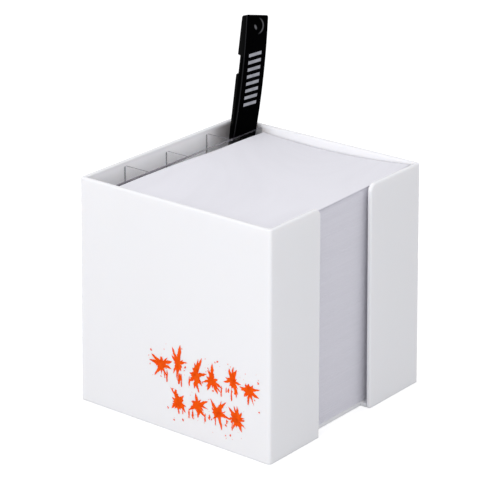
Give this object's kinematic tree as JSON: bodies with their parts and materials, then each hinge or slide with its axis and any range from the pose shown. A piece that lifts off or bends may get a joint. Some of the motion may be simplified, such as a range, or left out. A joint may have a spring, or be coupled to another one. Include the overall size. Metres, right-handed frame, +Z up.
{
  "type": "memo cube box with pen compartments",
  "caption": "White moulded cube box for loose note paper, with a finger slot in one side, a clear comb that makes pen cells along the other, its paper and a flat push pen.",
  "frame": {"origin": "centre of the box's footprint, on the surface that it stands on", "axes": "+X to the right along the printed front, which faces -Y, towards the slotted side; +Z up"},
  "size_m": [0.1024, 0.1083, 0.1512],
  "materials": {
    "white_moulding": "white injection-moulded plastic, satin gloss",
    "clear_plastic": "clear moulded styrene",
    "note_paper": "uncoated white note paper",
    "black_plastic": "glossy black moulded plastic",
    "inner_plastic": "natural acetal",
    "ink_tube": "plastic ink tube with blue ink",
    "point_metal": "turned brass",
    "spring_steel": "drawn steel wire"
  },
  "bodies": {
    "holder": {"holder_shell": "white_moulding", "holder_base": "white_moulding"},
    "comb": {"pen_comb": "clear_plastic"},
    "paper": {"paper_block": "note_paper", "loose_sheets": "note_paper"},
    "top_sheet": {"top_sheet": "note_paper"},
    "pen": {"pen_barrel": "black_plastic", "pen_nose": "black_plastic", "pen_spring": "spring_steel"},
    "pen_plunger": {"pen_cap_clip": "black_plastic", "pen_thrust_tube": "inner_plastic", "pen_cam": "inner_plastic", "pen_refill_tube": "ink_tube", "pen_refill_point": "point_metal"}
  },
  "joints": [
    {"name": "comb_lifts_out", "type": "slide", "parent": "holder", "child": "comb", "axis": [0, 0, 1], "range_m": [0, 0.105]},
    {"name": "paper_lifts_out", "type": "slide", "parent": "holder", "child": "paper", "axis": [0, 0, 1], "range_m": [0, 0.105]},
    {"name": "sheet_lifts_off", "type": "slide", "parent": "paper", "child": "top_sheet", "axis": [0, 0, 1], "range_m": [0, 0.04]},
    {"name": "pen_pulls_out", "type": "slide", "parent": "comb", "child": "pen", "axis": [0.0361, 0.1293, 0.9909], "range_m": [0, 0.11]},
    {"name": "pen_click", "type": "slide", "parent": "pen", "child": "pen_plunger", "axis": [0.0361, 0.1293, 0.9909], "range_m": [0, 0.0052], "deforming": ["pen_spring"]}
  ]
}
